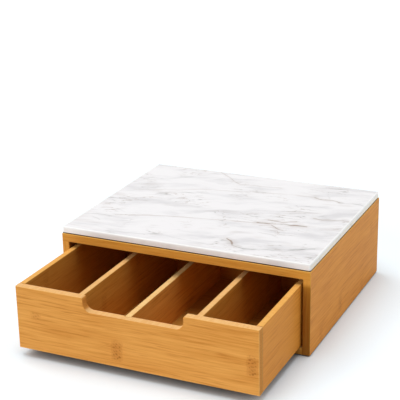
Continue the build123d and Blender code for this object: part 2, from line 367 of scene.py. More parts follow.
def arris_group():
    """How near a point lies to an edge of the box between two corners."""
    inputs = {"Vector": "Position, Low, High", "Float": "Width"}
    graph, given = start_group("arris", inputs, {"Float": "Arris"})
    from_low = graph.vector("SUBTRACT", given["Position"], given["Low"])
    from_high = graph.vector("SUBTRACT", given["High"], given["Position"])
    x, y, z = graph.split(graph.vector("MINIMUM", from_low, from_high))
    nearer, farther = graph.math("MINIMUM", x, y), graph.math("MAXIMUM", x, y)
    second = graph.math("MAXIMUM", nearer, graph.math("MINIMUM", farther, z))
    away = graph.math("DIVIDE", second, given["Width"])
    return end_group(graph, {"Arris": graph.rise(away, 0.35, 1.0, 1, 0)})


def bamboo_group(settings, node_mark):
    """Strips, fibres, streaks, node marks and sawn ends of a bamboo board, with its upward faces made
    paler and creamier, partly a sandpapered look and partly a painted highlight from above, and a painted
    highlight along its edges, partly eased-edge wear.
    """
    inputs = {
        "Vector": "Position, Facing", "Color": "Tint",
        "Float": "Upward, Seed, Marks, Drawn ticks, Drawn patch, Sanding, "
                 "Low end, High end, Joint, Figure, Arris",
    }
    graph, given = start_group("bamboo", inputs, {"Color": "Color", "Float": "Roughness, Height"})
    position, seed, figure = given["Position"], given["Seed"], given["Figure"]
    apart = graph.join(graph.times(seed, 0.731), 0.0, seed)
    waved = graph.vector("ADD", position, apart)
    bend = graph.noise(waved, (11, 34, 20), detail=1)
    lift = graph.math("MULTIPLY_ADD", bend, GRAIN_WAVE, -GRAIN_WAVE / 2)
    place = graph.vector("ADD", waved, graph.join(0.0, lift, 0.0))
    along, across, through = graph.split(place)

    strip = graph.math("FLOOR", graph.math("DIVIDE", across, settings.strip))
    strip_seed = graph.math("ADD", strip, graph.times(seed, 17.0))
    strip_tone = graph.add("TexWhiteNoise", {"W": strip_seed}, noise_dimensions="1D")
    shift = graph.times(strip_tone, 3.0)
    fibred = graph.vector("ADD", place, graph.join(shift, 0.0, 0.0))
    band = graph.noise(place, (6, 75, 60))
    cloud = graph.noise(place, (9, 22, 22))
    growth = graph.noise(place, (17, 400, 400))
    fine = graph.noise(fibred, (14, 1500, 1500), detail=3, roughness=0.6)
    medium = graph.noise(fibred, (30, 620, 620), detail=3)
    tone = 0.5
    weights = (
        (cloud, 0.6), (band, 0.75), (growth, 1.5), (fine, 0.8), (medium, 0.9), (strip_tone, 0.15),
    )
    for part, weight in weights:
        spread = graph.times(figure, weight)
        tone = graph.math("MULTIPLY_ADD", graph.math("SUBTRACT", part, 0.5), spread, tone)
    face = graph.mix(tone, settings.light, settings.dark)
    streak = graph.math("MAXIMUM", graph.rise(growth, 0.57, 0.7), graph.rise(medium, 0.58, 0.74))
    broken = graph.noise(fibred, (24, 110, 110))
    broken = graph.rise(broken, 0.4, 0.62, 0.15, 0.5)
    streak = graph.times(streak, broken, figure)
    face = graph.mix(streak, face, settings.streak)

    cell = graph.math("FLOOR", graph.math("DIVIDE", along, settings.internode))
    cane = graph.math("FLOOR", graph.math("DIVIDE", across, settings.cane))
    chance_at = graph.join(cell, cane, seed)
    chance = graph.add("TexWhiteNoise", {"Vector": chance_at}, "Color", noise_dimensions="3D")
    where, whether, _ = graph.split(chance)
    centre_along = graph.math("MULTIPLY_ADD", where, 0.8, graph.math("ADD", cell, 0.1))
    centre = graph.join(
        graph.times(centre_along, settings.internode),
        graph.times(graph.math("ADD", cane, 0.5), settings.cane),
        through,
    )
    mark = graph.group(node_mark, {
        "Position": place, "Centre": centre, "Half length": settings.node_length / 2,
        "Half width": settings.cane / 2, "Tick spacing": settings.tick,
    })
    shown = graph.times(graph.math("GREATER_THAN", whether, BARE_SHARE), given["Marks"])
    ticks = graph.math("MAXIMUM", graph.times(mark["Ticks"], shown), given["Drawn ticks"])
    patch = graph.math("MAXIMUM", graph.times(mark["Patch"], shown), given["Drawn patch"])
    face = graph.mix(graph.times(patch, PATCH_MIX), face, settings.streak)
    face = graph.mix(graph.times(ticks, TICK_MIX), face, settings.node)

    # Upward faces turn paler and creamier: a painted highlight where light falls from above, partly the
    # sandpapered look of top edges
    cross = graph.noise(place, (420, 60, 60))
    upper = graph.mix(graph.rise(cross, 0.35, 0.75, 0.1, 0.45), settings.sanded_and_top_lit, face)
    sanding = graph.times(graph.rise(given["Upward"], 0.45, 0.9), given["Sanding"])
    face = graph.mix(sanding, face, upper)

    grain_end = graph.math("ABSOLUTE", graph.split(given["Facing"])[0])
    is_end = graph.rise(grain_end, 0.55, 0.85)
    dots = graph.noise(place, (90, 900, 900))
    ends = graph.mix(graph.rise(dots, 0.5, 0.72), settings.end, settings.pore)
    face = graph.mix(is_end, face, ends)

    board_along = graph.split(position)[0]
    from_low = graph.math("SUBTRACT", board_along, given["Low end"])
    from_high = graph.math("SUBTRACT", given["High end"], board_along)
    from_end = graph.math("MINIMUM", from_low, from_high)
    not_end = graph.math("SUBTRACT", 1, is_end)
    line = graph.times(graph.rise(from_end, *JOINT_FADE, 1, 0), given["Joint"], not_end)
    face = graph.mix(line, face, settings.crack)
    # Painted highlight along the board's edges, partly eased-edge wear
    face = graph.mix(graph.times(given["Arris"], 0.5), face, settings.arris)
    face = graph.mix(1.0, face, given["Tint"], blend="MULTIPLY")

    rough = graph.math("MULTIPLY_ADD", fine, 0.14, settings.roughness - 0.07)
    rough = graph.math("ADD", rough, graph.times(is_end, 0.18))
    height = graph.math("MULTIPLY_ADD", streak, -0.6, graph.times(fine, 0.5))
    height = graph.math("MULTIPLY_ADD", line, -0.8, height)
    return end_group(graph, {"Color": face, "Roughness": rough, "Height": height})


# order names the axes that run along a board's grain, across its strips and through it. inside names
# the ways that its inner faces look, and these faces get a painted shade. butts says whether its ends
# meet other boards, and joint how dark the line is where they do.
# The fifth field sets how strongly a board's upward faces get the painted highlight from above
Board = namedtuple(
    "Board", "order inside butts marks sanding joint figure tint",
    defaults=("", True, 0.5, 1.0, 0.5, 0.75, (1, 1, 1)),
)
RAIL_TINT = (0.96, 0.99, 0.8)
# Painted shadow: the right panel's front edge below the rail is darkened where the drawer shades it
STILE_SHADOW_TINT = (0.55, 0.5, 0.27)
SIDE_TINT = (1.0, 0.89, 0.57)
# Painted shade: darker tints for the inner faces of the bay and of the drawer's compartments, where shade
# falls
BAY_SHADE_TINT = (0.42, 0.44, 0.48)
DRAWER_SHADE_TINT = (0.81, 0.84, 0.71)
PALE_TINT = (1.07, 1.19, 1.28)
BOARDS = {
    "left_side_panel": Board("YZX", "+X", butts=False, marks=0.3, joint=0, tint=SIDE_TINT),
    "right_side_panel": Board("YZX", "-X", butts=False, marks=0.3, joint=0, tint=SIDE_TINT),
    "top_panel": Board("XZY", "-Z", marks=0, sanding=0, joint=0, tint=RAIL_TINT),
    "bottom_panel": Board("XYZ", "+Z", marks=0, sanding=0, tint=RAIL_TINT),
    "back_panel": Board("XZY", "-Y", joint=0),
    "drawer_stop_left": Board("XYZ", "-Z", sanding=0, joint=0),
    "drawer_stop_right": Board("XYZ", "-Z", sanding=0, joint=0),
    "drawer_front": Board("XZY", "+Y", butts=False, marks=0, joint=0, figure=0.88),
    "drawer_left_side": Board("YZX", "+X", marks=0.3, joint=1, figure=0.6, tint=SIDE_TINT),
    "drawer_right_side": Board("YZX", "-X", marks=0.3, joint=1, figure=0.6, tint=SIDE_TINT),
    "drawer_back": Board("XZY", "-Y", butts=False, joint=0),
    "drawer_bottom": Board("XYZ", "+Z", sanding=0, joint=0),
    "divider_left": Board("YZX", "-X +X"),
    "divider_middle": Board("YZX", tint=PALE_TINT),
    "divider_right": Board("YZX", "-X +X"),
}
IN_THE_BAY = ("side_panel", "top_panel", "bottom_panel", "back_panel", "drawer_stop")

# How far under the rail a side panel's front edge starts and ends to turn darker: on the right panel, a
# painted shadow cast by the drawer
STILE_SHADOW_FADE = (3 * MM, 11 * MM)

# Node marks that are seen on a board: the middle along its grain and in Z, length and width, all in
# millimetres, and strength
DRAWN_MARKS = {
    "drawer_front": ((-22, 33, 15, 27, 1.0), (149, 47, 14, 27, 1.0), (-131, 58, 14, 10, 0.45)),
    "right_side_panel": ((40, 24, 14, 24, 0.5),),
}


def drawn_marks(graph, node, position, settings, node_mark):
    """The ticks and the patches of the marks that are seen on a board."""
    ticks, patch = 0.0, 0.0
    for along, z, mark_length, width, strength in DRAWN_MARKS.get(node, ()):
        mark = graph.group(node_mark, {
            "Position": position, "Centre": (along * MM, z * MM, 0), "Tick spacing": settings.tick,
            "Half length": mark_length / 2 * MM, "Half width": width / 2 * MM,
        })
        ticks = graph.math("MAXIMUM", graph.times(mark["Ticks"], strength), ticks)
        patch = graph.math("MAXIMUM", graph.times(mark["Patch"], strength), patch)
    return ticks, patch


def inner_share(graph, facing, ways):
    """How far a point's face looks one of the given ways, such as +X."""
    found = 0.0
    for sign, axis in ways.split():
        looking = graph.times(facing[axis], 1 if sign == "+" else -1)
        found = graph.math("MAXIMUM", graph.rise(looking, 0.4, 0.8), found)
    return found


def front_edge_tint_and_shadow(graph, node, height):
    """The tint of a side panel's front edge: the rail's beside the rail, and lower down the rail's again
    on the left panel, and on the right a darker painted shadow cast by the drawer.
    """
    below = STILE_SHADOW_TINT if node.startswith("right") else RAIL_TINT
    rail_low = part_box("top_panel")[0].z
    beside_rail = graph.rise(height, rail_low - STILE_SHADOW_FADE[1], rail_low - STILE_SHADOW_FADE[0])
    return graph.mix(beside_rail, below, RAIL_TINT)


def board_material(node, board, seed, settings, bamboo, node_mark, arris):
    """The bamboo of one board, with grain and sawn ends the way that the board lies."""
    material, graph = start_material(f"bamboo_{node}")
    whole, normal = object_place(graph), graph.add("TexCoord", output="Normal")
    place, facing = dict(zip("XYZ", graph.split(whole))), dict(zip("XYZ", graph.split(normal)))
    position = graph.join(*(place[axis] for axis in board.order))
    direction = graph.join(*(facing[axis] for axis in board.order))
    # Inner faces get a painted shade: darker in the bay, less so in the drawer
    painted_inner_shade = BAY_SHADE_TINT if any(part in node for part in IN_THE_BAY) else DRAWER_SHADE_TINT
    tint = graph.mix(inner_share(graph, facing, board.inside), board.tint, painted_inner_shade)
    if "side_panel" in node:
        band = graph.math("LESS_THAN", facing["Y"], -0.5)
        level_part = graph.math("GREATER_THAN", place["Z"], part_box("top_panel")[0].z)
        along_band = graph.blend(
            level_part, graph.join(place["Z"], place["X"], place["Y"]),
            graph.join(place["X"], place["Z"], place["Y"]),
        )
        position = graph.blend(band, position, along_band)
        direction = graph.blend(band, direction, (0, 0, 1))
        seed = graph.math("MULTIPLY_ADD", band, list(BOARDS).index("top_panel") + 1 - seed, seed)
        # The front edge takes the rail's tint, and on the right panel a painted shadow of the drawer lower
        # down
        tint = graph.mix(band, tint, front_edge_tint_and_shadow(graph, node, place["Z"]))
    grain_axis = "XYZ".index(board.order[0])
    low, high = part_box(node)
    eased_low, eased_high = low.copy(), high.copy()
    if board.butts:
        eased_low[grain_axis] -= FAR
        eased_high[grain_axis] += FAR
    if node == "left_side_panel":
        eased_high.x += FAR
    if node == "right_side_panel":
        eased_low.x -= FAR
    # The paler line along edges is a painted highlight, partly eased-edge wear
    eased = graph.group(arris, {
        "Position": whole, "Low": eased_low, "High": eased_high, "Width": settings.arris_highlight_width,
    })["Arris"]
    ticks, patch = drawn_marks(graph, node, position, settings, node_mark)
    made = graph.group(bamboo, {
        "Position": position, "Facing": direction, "Upward": facing["Z"], "Seed": seed,
        "Marks": board.marks, "Drawn ticks": ticks, "Drawn patch": patch, "Sanding": board.sanding,
        "Low end": low[grain_axis], "High end": high[grain_axis], "Joint": board.joint,
        "Figure": board.figure, "Arris": eased, "Tint": tint,
    })
    surface = {"Base Color": made["Color"], "Roughness": made["Roughness"], "Specular IOR Level": 0.15}
    end_material(graph, surface, made["Height"], 0.12 * MM)
    return material


def shared(name, make):
    """A node group that is made once and found again by its name."""
    return bpy.data.node_groups.get(name) or make()


def dress(piece, material):
    """Gives a piece one material in place of what it has."""
    piece.data.materials.clear()
    piece.data.materials.append(material)


class CABINET_OT_boards(bpy.types.Operator):
    """Gives every bamboo board its grain"""

    bl_idname = "cabinet.boards"
    bl_label = "Finish Boards"

    def execute(self, context):
        settings = context.scene.cabinet_bamboo
        node_mark = node_mark_group()
        bamboo = bamboo_group(settings, node_mark)
        arris = shared("arris", arris_group)
        for count, (node, board) in enumerate(BOARDS.items(), start=1):
            material = board_material(node, board, count, settings, bamboo, node_mark, arris)
            dress(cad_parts[node], material)
        return {"FINISHED"}


# Marble

def vein_group():
    """One stretch of a vein, which fades towards its ends and varies in width."""
    inputs = {"Vector": "Position, Start, End", "Float": "Width, Strength, Before"}
    graph, given = start_group("vein", inputs, {"Float": "Vein"})
    position, start = given["Position"], given["Start"]
    line = graph.vector("SUBTRACT", given["End"], start)
    offset = graph.vector("SUBTRACT", position, start)
    span = graph.vector("DOT_PRODUCT", line, line, output="Value")
    reach = graph.math("DIVIDE", graph.vector("DOT_PRODUCT", offset, line, output="Value"), span)
    nearest = graph.scale(line, graph.add("Clamp", (reach, 0.0, 1.0)))
    aside = graph.vector("LENGTH", graph.vector("SUBTRACT", offset, nearest), output="Value")
    swell = graph.rise(graph.noise(position, 60), 0.3, 0.7, 0.6, 1.6)
    width = graph.times(given["Width"], swell)
    core = graph.rise(graph.math("DIVIDE", aside, width), 0.1, 0.9, 1, 0)
    halo = graph.rise(graph.math("DIVIDE", aside, width), 0.0, 4.5, 0.24, 0)
    faded = graph.rise(graph.noise(position, 38, detail=1), 0.32, 0.5, 0.45, 1)
    shown = graph.times(faded, given["Strength"])
    vein = graph.times(graph.math("MAXIMUM", core, halo), shown)
    return end_group(graph, {"Vein": graph.math("MAXIMUM", vein, given["Before"])})


# Routes of the main veins in millimetres from the slab's middle: width, strength, points
BROWN_VEINS = (
    (0.8, 0.7, ((-125, -73), (-40, -50), (20, -40), (60, -34))),
    (2.5, 1.0, ((60, -34), (82, -32), (92, -27), (104, -28), (110, -24), (124, -24))),
    (1.3, 0.9, ((68, -20), (88, -22), (98, -15), (105, -12))),
    (1.1, 0.8, ((66, -42), (78, -36), (90, -44), (100, -47))),
    (0.7, 0.5, ((84, -52), (94, -50), (98, -58))),
    (2.0, 0.95, ((46, -98), (52, -103), (56, -109), (59, -116), (66, -120))),
    (1.5, 0.75, ((120, 8), (134, 7), (142, 9), (151, 10), (158, 14), (168, 9))),
    (1.6, 0.8, ((96, 83), (103, 79), (108, 77), (114, 78), (122, 80), (128, 79), (134, 76))),
    (0.8, 0.4, ((-150, 22), (-60, 58), (60, 84), (96, 83))),
    (0.9, 0.5, ((-66, 138), (-20, 96), (40, 104))),
)
GREY_VEINS = (
    (9.0, 0.14, ((122, -124), (160, -104))),
    (1.9, 1.0, ((66, -120), (76, -123), (92, -119), (112, -113), (128, -105), (140, -99))),
    (1.9, 1.0, ((140, -99), (147, -94), (156, -91))),
    (1.3, 0.7, ((134, 76), (146, 77), (160, 80), (169, 78))),
    (1.4, 0.6, ((126, 17), (131, 21))),
    (0.7, 0.35, ((108, 104), (111, 94), (116, 86))),
    (0.8, 0.4, ((74, -64), (92, -66), (104, -72))),
    (1.1, 0.55, ((-169, -87), (-160, -84), (-150, -81), (-141, -80), (-128, -81))),
    (0.9, 0.4, ((-150, -92), (-142, -95), (-136, -99))),
    (1.0, 0.4, ((-168, -17), (-160, -22), (-152, -28))),
    (1.1, 0.3, ((-158, 66), (-112, 92), (-70, 132))),
    (0.8, 0.35, ((-110, -132), (-30, -118), (30, -126))),
)


def vein_network(graph, position, vein, routes):
    """How much of a vein there is at a point, for all routes of one colour."""
    found = 0.0
    for width, strength, points in routes:
        for start, end in zip(points, points[1:]):
            found = graph.group(vein, {
                "Position": position, "Start": (start[0] * MM, start[1] * MM, 0),
                "End": (end[0] * MM, end[1] * MM, 0), "Width": width * MM,
                "Strength": strength, "Before": found,
            })["Vein"]
    return found


def hairlines(graph, position, stretch, width):
    """Thin irregular lines where a stretched noise passes its middle."""
    drawn = graph.noise(position, stretch, detail=3, roughness=0.55)
    aside = graph.math("ABSOLUTE", graph.math("SUBTRACT", drawn, 0.5))
    return graph.rise(aside, 0.0, width, 1, 0)


# Fine lines: bends to the metre, how the noise that draws them is stretched, strength and colour
HAIRLINES = ((30, (9, 46, 9), 0.5, "grey"), (44, (13, 66, 13), 0.4, "brown"))


def marble_material(settings, arris):
    """Polished white marble: grey clouds, hairlines and the main veins."""
    material, graph = start_material("polished_marble")
    low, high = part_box("marble_slab")
    middle = ((low.x + high.x) / 2, (low.y + high.y) / 2, high.z)
    place = graph.vector("SUBTRACT", object_place(graph), middle)
    depth = graph.split(place)[2]
    sheared = graph.vector("ADD", place, graph.join(depth, graph.times(depth, 0.6), 0.0))
    turned = graph.add("Mapping", {"Vector": sheared, "Rotation": (0, 0, math.radians(-14))})
    cloudy = graph.wander(turned, 9, 60 * MM)
    cloud = graph.noise(cloudy, (9, 34, 9), detail=5, roughness=0.6)
    stone = graph.mix(graph.rise(cloud, 0.44, 0.7, 0, 0.85), settings.ground, settings.cloud)
    warm = graph.noise(cloudy, (14, 44, 14), detail=3)
    stone = graph.mix(graph.rise(warm, 0.55, 0.74, 0, 0.16), stone, settings.brown)
    rare = graph.rise(graph.noise(turned, 16), 0.46, 0.62)
    for bend, stretch, strength, tone in HAIRLINES:
        lines = hairlines(graph, graph.wander(turned, bend, 14 * MM), stretch, 0.013)
        shown = graph.times(lines, rare, strength)
        stone = graph.mix(shown, stone, getattr(settings, tone))

    flat = graph.vector("MULTIPLY", sheared, (1, 1, 0))
    bent = graph.wander(graph.wander(flat, 26, 9 * MM), 90, 2.2 * MM)
    bent = graph.vector("MULTIPLY", bent, (1, 1, 0))
    vein = vein_group()
    brown = vein_network(graph, bent, vein, BROWN_VEINS)
    grey = vein_network(graph, bent, vein, GREY_VEINS)
    stone = graph.mix(graph.times(grey, 0.8), stone, settings.grey)
    stone = graph.mix(graph.times(brown, 0.85), stone, settings.brown)
    # Painted light: upright faces are made paler than the top, and the left and right sides warmer, as
    # painted warm light from the wood
    facing = graph.add("TexCoord", output="Normal")
    across, _, sideways = graph.split(graph.vector("ABSOLUTE", facing))
    edge = graph.mix(graph.rise(across, 0.5, 0.9), settings.edge, settings.cut)
    edge = graph.mix(graph.rise(cloud, 0.44, 0.7, 0, 0.5), edge, settings.cloud)
    edge = graph.mix(graph.times(brown, 0.5), edge, settings.brown)
    stone = graph.mix(graph.rise(sideways, 0.2, 0.6, 1, 0), stone, edge)
    # Painted highlight: paler stone along the upper edge
    rim = graph.group(arris, {
        "Position": object_place(graph), "Low": (low.x, low.y, low.z - FAR), "High": high,
        "Width": settings.rim,
    })["Arris"]
    stone = graph.mix(graph.times(rim, 0.8), stone, settings.polished)
    speck = graph.noise(place, 900)
    rough = graph.math("MULTIPLY_ADD", speck, 0.06, settings.polish - 0.03)
    surface = {"Base Color": stone, "Roughness": rough, "Specular IOR Level": 0.45}
    end_material(graph, surface, speck, 0.008 * MM)
    return material


# Modelling

def deselect():
    """Leaves no object selected."""
    bpy.ops.object.select_all(action="DESELECT")


def select_only(*pieces):
    """Selects some objects and makes the first one active."""
    deselect()
    for piece in pieces:
        piece.select_set(True)
    bpy.context.view_layer.objects.active = pieces[0]


@contextmanager
def editing():
    """Opens the active object's mesh for editing, and closes it again."""
    bpy.ops.object.mode_set(mode="EDIT")
    yield
    bpy.ops.object.mode_set(mode="OBJECT")


def settle(name):
    """Names the object just added and puts its place and size into its mesh."""
    piece = bpy.context.object
    piece.name = piece.data.name = name
    bpy.ops.object.transform_apply(location=True, rotation=True, scale=True)
    return piece


def add_block(name, low, high):
    """A block between two corners."""
    deselect()
    bpy.ops.mesh.primitive_cube_add(size=1, location=(low + high) / 2, scale=high - low)
    return settle(name)


def add_rod(name, centre, radius, low_z, high_z, sides=48):
    """An upright rod."""
    deselect()
    middle = (centre[0], centre[1], (low_z + high_z) / 2)
    bpy.ops.mesh.primitive_cylinder_add(
        vertices=sides, radius=radius, depth=high_z - low_z, location=middle
    )
    return settle(name)


def pick(piece, kind, test):
    """Selects the faces, edges or vertices of a mesh in edit mode that pass a test."""
    bpy.ops.mesh.select_mode(type=kind)
    bpy.ops.mesh.select_all(action="DESELECT")
    mesh = bmesh.from_edit_mesh(piece.data)
    for part in {"VERT": mesh.verts, "EDGE": mesh.edges, "FACE": mesh.faces}[kind]:
        part.select_set(test(part))
    mesh.select_flush_mode()
    bmesh.update_edit_mesh(piece.data)


def level(part, z):
    """Whether all of an edge or face lies at a height."""
    return all(abs(vertex.co.z - z) < SAME for vertex in part.verts)


def on_rim(edge, centre, radius):
    """Whether both ends of an edge lie at a radius from an upright axis."""
    return all((vertex.co.xy - centre.xy).length > radius - 10 * SAME for vertex in edge.verts)


def upright(edge):
    """Whether an edge stands upright."""
    start, end = (vertex.co for vertex in edge.verts)
    return (start.xy - end.xy).length < SAME


def round_edges(piece, test, radius, segments):
    """Rounds the edges of a mesh in edit mode that pass a test."""
    pick(piece, "EDGE", test)
    bpy.ops.mesh.bevel(offset=radius, segments=segments, affect="EDGES")


def smooth(piece, degrees=35):
    """Shades a piece smooth except where its faces meet at more than an angle."""
    select_only(piece)
    bpy.ops.object.shade_smooth_by_angle(angle=math.radians(degrees))


def finish_piece(piece, material, node, body):
    """Gives a piece its material and body, and lets it stand for a node."""
    dress(piece, material)
    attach(piece, body)
    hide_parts(node)


class CABINET_OT_slab(bpy.types.Operator):
    """Models the marble slab with rounded corners and polished edges"""

    bl_idname = "cabinet.slab"
    bl_label = "Model Slab"

    def execute(self, context):
        settings = context.scene.cabinet_marble
        low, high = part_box("marble_slab")
        slab = add_block("polished_slab", low, high)
        with editing():
            round_edges(slab, upright, settings.corner, 8)
            round_edges(slab, lambda edge: level(edge, high.z), settings.arris, 5)
            round_edges(slab, lambda edge: level(edge, low.z), settings.lower_arris, 3)
        smooth(slab)
        stone = marble_material(settings, shared("arris", arris_group))
        finish_piece(slab, stone, "marble_slab", "cabinet")
        return {"FINISHED"}


# Feet, dowels, screws and the bonding sheet, which is coloured near black as a painted shadow line

# Share of a foot's radius on which it stands
FOOT_RING = 0.3


def plain_material(name, base, roughness, relief, metallic=0.0, stretch=(1, 1, 1)):
    """A material of one colour with cloudy and fine variation, stretched along an axis."""
    material, graph = start_material(name)
    place = graph.vector("MULTIPLY", object_place(graph), stretch)
    coarse = graph.noise(place, 90, detail=3)
    fine = graph.noise(place, 900, detail=3, roughness=0.6)
    darker = tuple(v * 0.55 for v in base)
    tone = graph.times(graph.math("ADD", coarse, fine), 0.5)
    mixed = graph.mix(graph.rise(tone, 0.3, 0.7, 0.0, 0.24), tuple(base), darker)
    rough = graph.math("MULTIPLY_ADD", tone, 0.2, roughness - 0.1)
    surface = {"Base Color": mixed, "Roughness": rough, "Metallic": metallic}
    end_material(graph, surface, fine, relief)
    return material


class CABINET_OT_feet(bpy.types.Operator):
    """Models the four feet with a soft rim and a shallow hollow"""

    bl_idname = "cabinet.feet"
    bl_label = "Model Feet"

    def execute(self, context):
        settings = context.scene.cabinet_fittings
        material = plain_material("foot_rubber", settings.rubber, 0.7, 0.04 * MM)
        for node in sorted(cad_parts):
            if not node.startswith("foot_"):
                continue
            low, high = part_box(node)
            centre, radius = (low + high) / 2, (high.x - low.x) / 2
            foot = add_rod(node.replace("foot", "bumper"), centre, radius, low.z, high.z)
            with editing():
                pick(foot, "FACE", lambda face: level(face, low.z))
                bpy.ops.mesh.inset(thickness=radius * FOOT_RING)
                bpy.ops.mesh.inset(thickness=settings.rim)
                bpy.ops.transform.translate(value=(0, 0, settings.hollow))
                round_edges(
                    foot, lambda edge: level(edge, low.z) and on_rim(edge, centre, radius), settings.rim, 4
                )
            smooth(foot)
            finish_piece(foot, material, node, "cabinet")
        return {"FINISHED"}


class CABINET_OT_bond_and_shadow(bpy.types.Operator):
    """Colours the sheet between the slab and the cabinet near black, as a painted shadow line under the
    slab
    """

    bl_idname = "cabinet.bond"
    bl_label = "Finish Bonding Sheet"

    def execute(self, context):
        settings = context.scene.cabinet_fittings
        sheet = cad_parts["slab_bond_sheet"]
        dress(sheet, plain_material("bond", settings.bond, 0.75, 0.05 * MM))
        return {"FINISHED"}


def solid_boxes(node):
    """The lowest and highest corner of each separate solid of a CAD node, in order of place."""
    mesh = bmesh.new()
    mesh.from_mesh(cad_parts[node].data)
    bmesh.ops.remove_doubles(mesh, verts=mesh.verts, dist=SAME)
    unseen, boxes = set(mesh.verts), []
    while unseen:
        solid = [unseen.pop()]
        for vertex in solid:
            near = {edge.other_vert(vertex) for edge in vertex.link_edges} & unseen
            unseen -= near
            solid += near
        places = [vertex.co for vertex in solid]
        low, high = (Vector([end(place[i] for place in places) for i in range(3)]) for end in (min, max))
        boxes.append((low, high))
    mesh.free()
    return sorted(boxes, key=lambda box: tuple(box[0]))


def put_copy(pattern, place, direction, turn):
    """A copy with its own mesh, with its upright axis turned to a direction."""
    select_only(pattern)
    bpy.ops.object.duplicate()
    copy = bpy.context.object
    tilt = Vector(direction).to_track_quat("Z", "Y").to_matrix()
    copy.rotation_euler = (tilt @ Matrix.Rotation(turn, 3, "Z")).to_euler()
    copy.location = place
    return settle(pattern.name)


def join_pieces(name, pieces):
    """Makes several objects one piece with its faces pointing outwards."""
    select_only(*pieces)
    bpy.ops.object.join()
    with editing():
        bpy.ops.mesh.select_all(action="SELECT")
        bpy.ops.mesh.normals_make_consistent(inside=False)
    return settle(name)


def draw_out(piece, z, to_z, factor=1.0):
    """Extrudes the end of an upright piece from one height to another and scales its end face."""
    pick(piece, "FACE", lambda face: level(face, z))
    bpy.ops.mesh.extrude_region_move(TRANSFORM_OT_translate={"value": (0, 0, to_z - z)})
    bpy.ops.transform.resize(value=(factor, factor, 1), center_override=(0, 0, 0))


def model_dowel(settings, radius, reach):
    """An upright fluted dowel with chamfered ends and its middle at the origin."""
    chamfer = settings.dowel_end
    body_end = reach / 2 - chamfer
    dowel = add_rod("dowel", (0, 0), radius, -body_end, body_end, sides=2 * settings.flutes)
    step = math.pi / settings.flutes
    groove = 1 - settings.flute_depth / radius
    with editing():
        pick(dowel, "VERT", lambda vertex: round(math.atan2(vertex.co.y, vertex.co.x) / step) % 2 == 1)
        bpy.ops.transform.resize(value=(groove, groove, 1), center_override=(0, 0, 0))
        draw_out(dowel, body_end, reach / 2, 1 - chamfer / radius)
        draw_out(dowel, -body_end, -reach / 2, 1 - chamfer / radius)
    return dowel


# Sections in one turn of a thread, how wide a screw's point is against its core, how thick the rim of
# its head is, and how long the step from its plain shank to its core
TURN_STEPS = 16
POINT = 0.08
HEAD_RIM = 0.1 * MM
CORE_STEP = 0.4 * MM


def model_thread(settings, top_z, bottom_z):
    """The spiral ridge of a screw, wound down round its core."""
    deselect()
    ridge = settings.shank - settings.core
    bpy.ops.mesh.primitive_circle_add(vertices=4, radius=ridge, fill_type="NOTHING")
    thread = bpy.context.object
    thread.rotation_euler = (math.pi / 2, 0, 0)
    thread.location = (settings.core, 0, top_z)
    settle("thread")
    wind = thread.modifiers.new("wind", "SCREW")
    wind.axis = "Z"
    wind.screw_offset = -settings.pitch
    wind.iterations = int((top_z - bottom_z) / settings.pitch)
    wind.steps = wind.render_steps = TURN_STEPS
    bpy.ops.object.modifier_apply(modifier=wind.name)
    with editing():
        bpy.ops.mesh.select_all(action="SELECT")
        bpy.ops.mesh.fill_holes(sides=4)
    return thread


def cut_recess(settings, screw):
    """Sinks a cross recess into the top of a screw's head."""
    low = Vector((-settings.recess / 2, -settings.recess_width / 2, -settings.recess_depth))
    high = Vector((settings.recess / 2, settings.recess_width / 2, settings.recess_depth))
    for turn in (0, math.pi / 2):
        cutter = add_block("cutter", low, high)
        cutter.rotation_euler.z = turn
        cut = screw.modifiers.new("recess", "BOOLEAN")
        cut.operation = "DIFFERENCE"
        cut.object = cutter
        select_only(screw)
        bpy.ops.object.modifier_apply(modifier=cut.name)
        bpy.data.objects.remove(cutter)


def model_screw(settings, head, reach):
    """An upright countersunk wood screw with the flat top of its head at the origin."""
    plain_z = -settings.sink - (reach - settings.sink) * settings.plain
    core_z, tip_z = plain_z - CORE_STEP, settings.tip - reach
    screw = add_rod("screw", (0, 0), head, -HEAD_RIM, 0, sides=32)
    with editing():
        draw_out(screw, -HEAD_RIM, -settings.sink, settings.shank / head)
        draw_out(screw, -settings.sink, plain_z)
        draw_out(screw, plain_z, core_z, settings.core / settings.shank)
        draw_out(screw, core_z, tip_z)
        draw_out(screw, tip_z, -reach, POINT)
    cut_recess(settings, screw)
    thread = model_thread(settings, core_z, tip_z)
    return join_pieces("screw", (screw, thread))


# Which way each set of fixings points, as a screw's head looks, and the body that holds it
FIXINGS = {
    "top_panel_dowels": ("cabinet", (1, 0, 0)),
    "bottom_panel_dowels": ("cabinet", (1, 0, 0)),
    "drawer_front_dowels": ("drawer", (0, 1, 0)),
    "drawer_back_dowels": ("drawer", (0, 1, 0)),
    "back_panel_screws": ("cabinet", (0, 1, 0)),
    "drawer_stop_screws": ("cabinet", (0, 0, -1)),
}


